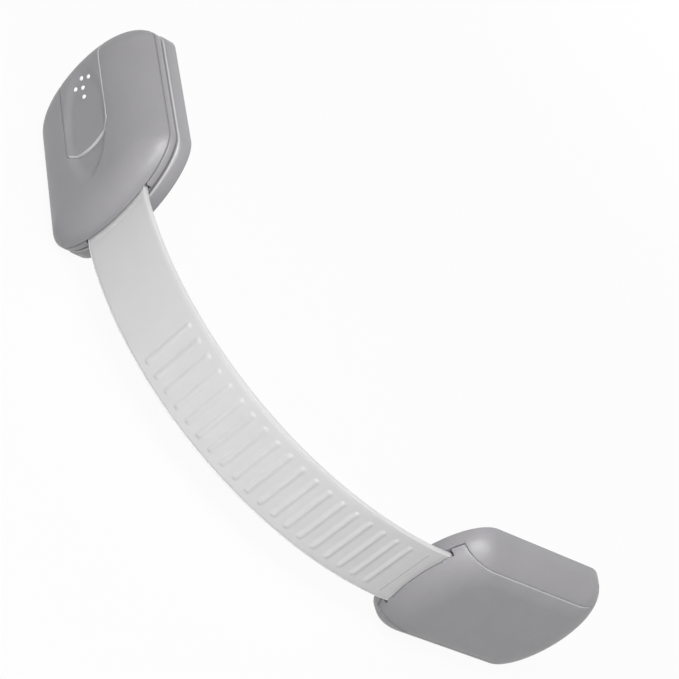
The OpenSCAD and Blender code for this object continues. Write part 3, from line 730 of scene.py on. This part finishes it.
# %% Ridges and rows of points
RIDGE_START, RIDGE_PITCH, RIDGE_HALF, RIDGE_RISE = 3.0, 3.7, 7.5, 0.24
RIDGE_ROWS = (0, 0.18, 0.35, 0.52, 0.7, 0.87, 1.05)   # rows of points to each side of a ridge
HAIRLINE, HAIRLINE_HALF, HAIRLINE_DEPTH = 1.95, 0.06, 0.35
ridge_at = RIDGE_START + RIDGE_PITCH * np.array([*range(-11, -1), *range(1, 20)])
stations = set(np.round(np.arange(-TAIL, FREE + ROOT + 0.01, 1.0), 3))
stations |= set(np.round(np.arange(102, 107, 0.25), 3))
for s in ridge_at:
    stations -= {x for x in stations if abs(x - s) < 1.3}
    stations |= {round(s + sign * d, 3) for d in RIDGE_ROWS for sign in (1, -1)}
stations |= {1.6, 1.8, 1.86, 1.9, 2.0, 2.04, 2.1, 2.3}   # round the hairline
joints = {j["name"]: j for j in frame["record"]["behaviour"]["joints"]}
hinge_xy = [np.array(joints["strap_flex_%d" % k]["pos_m"][:2]) / MM for k in range(1, 7)]
hinge_s = [round(float(fine_s[np.argmin(np.linalg.norm(line - h, axis=1))]), 2) for h in hinge_xy]
middles = [round((a + b) / 2, 3) for a, b in zip(hinge_s, hinge_s[1:])]
parts_at = [-TAIL] + middles + [FREE + ROOT]
stations = np.array(sorted(stations | set(parts_at)))
print(len(ridge_at), "ridges, and the strap parts at", parts_at)

# %% Cross section
FACE_LEVEL = 0.68
across = [0, 1.7, 3.4, 5.0, 6.0, 6.45, 6.65, 6.85, 7.05, 7.25, 7.45, 7.55, 8.0, 8.6, 9.05]
face = [(w, FACE_LEVEL) for w in across]
groove = [(9.13, 0.64), (9.18, 0.58), (9.23, 0.6), (9.27, 0.67), (9.31, 0.73), (9.35, 0.75)]
bead = [(9.4, 0.73), (9.45, 0.64), (9.49, 0.5), (9.5, 0.3), (9.5, -0.25), (9.46, -0.46),
        (9.36, -0.62), (9.2, -0.72)]
back = [(w, -HALF_T) for w in (9.0, 6.0, 3.0, 0.0)]
half_ring = face + groove + bead + back
section = np.array(half_ring + [(-w, n) for w, n in half_ring[-2:0:-1]])


def ridge_height(s, w):
    """Soft bumps with rounded ends."""
    from_end = np.maximum(np.abs(w) - RIDGE_HALF + 1, 0)
    nearest = np.abs(s - ridge_at[:, None, None]).min(axis=0)
    return RIDGE_RISE / 2 * (1 + np.cos(np.pi * np.minimum(np.hypot(nearest, from_end), 1)))


# %% Sweep the section along the path
STEP_RISE, STEP_RUN, STEP_RAMP = 0.1, 1.45, 0.3
s_grid, w_grid = np.meshgrid(stations, section[:, 0], indexing="ij")
n_grid = np.broadcast_to(section[:, 1], s_grid.shape).copy()
on_face = (n_grid > 0.6) & (np.abs(w_grid) < 8.9)
n_grid += np.where(on_face, ridge_height(s_grid, w_grid), 0)
# A hairline groove lies before the mouth of the anchor, and a low step along the curved mouth of the head
in_hairline = on_face & (np.abs(w_grid) < 7.4) & (np.abs(s_grid - HAIRLINE) < HAIRLINE_HALF)
n_grid -= np.where(in_hairline, HAIRLINE_DEPTH, 0)
to_mouth = FREE + LATCH_PLAN[0] / 2 + MOUTH_GAP - head_form.reach(HEAD_FOOT, w_grid) - s_grid
ramp_up, ramp_down = (np.clip(d / STEP_RAMP, 0, 1) for d in (STEP_RUN - to_mouth, to_mouth))
n_grid += np.where(on_face, STEP_RISE * ramp_up * ramp_down, 0)
xy = strap_point(s_grid, n_grid)
strap_points = np.concatenate([xy, w_grid[..., None]], -1) * MM
print("strap sweep:", len(stations), "rows of", len(section), "points")

# %% Part the strap over its hinges
stands_for = [["strap_tail"], ["strap_length_1"], ["strap_length_2"], ["strap_length_3"], ["strap_length_4"],
              ["strap_length_5", "strap_root"]]
for k in range(6):
    rows = np.where((stations >= parts_at[k] - 1e-6) & (stations <= parts_at[k + 1] + 1e-6))[0]
    part = Moulding()
    rings = [part.add(strap_points[i]) for i in rows]
    for a, b in zip(rings, rings[1:]):
        part.strip(b, a)
    if k == 0:
        part.cap(rings[0])
    if k == 5:
        part.cap(rings[-1][::-1])
    piece = part.make("strap_part_%d" % (k + 1), np.asarray, milky_strap, sharp=60)
    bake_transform(piece)
    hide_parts(*stands_for[k])

# %% [markdown]
# ## Inner pieces
# The pawl, the clip and the return spring sit inside the pads. Their CAD shapes are right as they are, so
# they only get a finish.

# %% Finishes of the inner pieces
INNER = {"ratchet_pawl": inner_grey, "latch_clip": inner_grey, "return_spring": spring_wire}
for node, material in INNER.items():
    mesh = frame["nodes"][node].data
    mesh.materials.clear()
    mesh.materials.append(material)
print("finished:", ", ".join(INNER))

# %% [markdown]
# ## Floor, light and camera
# The lock lies on its edge on a plain white floor. Five soft lamps stand on the camera's side, from about the
# camera's height to high above it, and draw the soft highlights on the rounded ends. A sixth lights the side
# that is turned away from the camera, and is kept out of reflections. The camera and any mirror see a white
# studio, while the rays that light the lock see little more than the lamps. The camera has the photograph's
# long lens, and it is rolled to one side, as in the photograph.

# %% Rays that see the white studio
def seen_rays(tree):
    """One for a ray from the camera, a mirror or glass, and nought for a ray that only lights."""
    rays = tree.nodes.new("ShaderNodeLightPath")
    found = rays.outputs["Is Camera Ray"]
    for kind in ("Is Glossy Ray", "Is Transmission Ray"):
        either = tree.nodes.new("ShaderNodeMath")
        either.operation = "MAXIMUM"
        tree.links.new(found, either.inputs[0])
        tree.links.new(rays.outputs[kind], either.inputs[1])
        found = either.outputs[0]
    return found


# %% Floor
FLOOR_HALF = 3      # metres
FLOOR_GLOW = 0.94   # share of the floor that shows as plain white; the rest takes the shadow
floor_mesh = bpy.data.meshes.new("floor")
floor_z = cad_box[0][2]
corners = [(FLOOR_HALF * x, FLOOR_HALF * y, floor_z) for x, y in ((-1, -1), (1, -1), (1, 1), (-1, 1))]
floor_mesh.from_pydata(corners, [], [(0, 1, 2, 3)])
floor = bpy.data.objects.new("floor", floor_mesh)
bpy.context.scene.collection.objects.link(floor)
white_floor = bpy.data.materials.new("white_floor")
white_floor.use_nodes = True
tree = white_floor.node_tree
paint = tree.nodes["Principled BSDF"]
paint.inputs["Base Color"].default_value = (0.5, 0.5, 0.5, 1)
paint.inputs["Roughness"].default_value = 0.9
paint.inputs["Specular IOR Level"].default_value = 0.1
glow = tree.nodes.new("ShaderNodeEmission")
share = tree.nodes.new("ShaderNodeMath")
share.operation = "MULTIPLY"
share.inputs[1].default_value = FLOOR_GLOW
mix = tree.nodes.new("ShaderNodeMixShader")
tree.links.new(seen_rays(tree), share.inputs[0])
tree.links.new(share.outputs[0], mix.inputs["Fac"])
tree.links.new(paint.outputs["BSDF"], mix.inputs[1])
tree.links.new(glow.outputs["Emission"], mix.inputs[2])
tree.links.new(mix.outputs["Shader"], tree.nodes["Material Output"].inputs["Surface"])
floor_mesh.materials.append(white_floor)
print("floor at", round(floor_z, 5))

# %% World
world = bpy.data.worlds.new("studio")
bpy.context.scene.world = world
world.use_nodes = True
tree = world.node_tree
air = tree.nodes["Background"]
air.inputs["Strength"].default_value = 0.02
backdrop = tree.nodes.new("ShaderNodeBackground")
mix = tree.nodes.new("ShaderNodeMixShader")
air.inputs["Color"].default_value = (1, 1, 1, 1)
backdrop.inputs["Color"].default_value = (1, 1, 1, 1)
tree.links.new(seen_rays(tree), mix.inputs["Fac"])
tree.links.new(air.outputs["Background"], mix.inputs[1])
tree.links.new(backdrop.outputs["Background"], mix.inputs[2])
tree.links.new(mix.outputs["Shader"], tree.nodes["World Output"].inputs["Surface"])
print("world:", world.name)

# %% Lamps
target = Vector((-0.0414, 0.0468, 0.0082))
eye = Vector((-0.3023, -0.2217, 0.2216))
LAMP_DISTANCE = 0.60


def softbox(name, direction, size, watts):
    lamp = bpy.data.lights.new(name, "AREA")
    lamp.shape, lamp.size, lamp.size_y, lamp.energy = "RECTANGLE", *size, watts
    obj = bpy.data.objects.new(name, lamp)
    bpy.context.scene.collection.objects.link(obj)
    obj.location = target + LAMP_DISTANCE * Vector(direction)
    obj.rotation_euler = (target - obj.location).to_track_quat("-Z", "Y").to_euler()
    return obj


softbox("front_softbox", (-0.68, -0.60, 0.42), (0.12, 0.36), 0.7)
softbox("left_softbox", (-0.60, -0.20, 0.78), (0.25, 0.25), 2.4)
softbox("right_softbox", (-0.30, -0.80, 0.52), (0.25, 0.25), 0.8)
softbox("high_softbox", (-0.46, -0.47, 0.75), (0.14, 0.40), 1.2)
softbox("overhead_softbox", (-0.15, -0.55, 0.82), (0.25, 0.25), 1.2)
rear = softbox("rear_softbox", (0.70, 0.66, 0.28), (0.50, 0.30), 3.0)
rear.visible_glossy = False
print("lamps:", ", ".join(lamp.name for lamp in bpy.data.lights))

# %% Camera
LENS_MM, SENSOR_MM, ROLL_DEGREES = 104.11, 36, 50.775
lens = bpy.data.cameras.new("camera")
lens.sensor_width = SENSOR_MM
lens.lens = LENS_MM
camera = bpy.data.objects.new("camera", lens)
bpy.context.scene.collection.objects.link(camera)
aim = (target - eye).to_track_quat("-Z", "Y")
roll = Matrix.Rotation(math.radians(ROLL_DEGREES), 4, "Z")
camera.matrix_world = Matrix.Translation(eye) @ aim.to_matrix().to_4x4() @ roll
bpy.context.scene.camera = camera
bpy.context.scene.view_settings.view_transform = "Standard"
print("lens", LENS_MM, "mm")
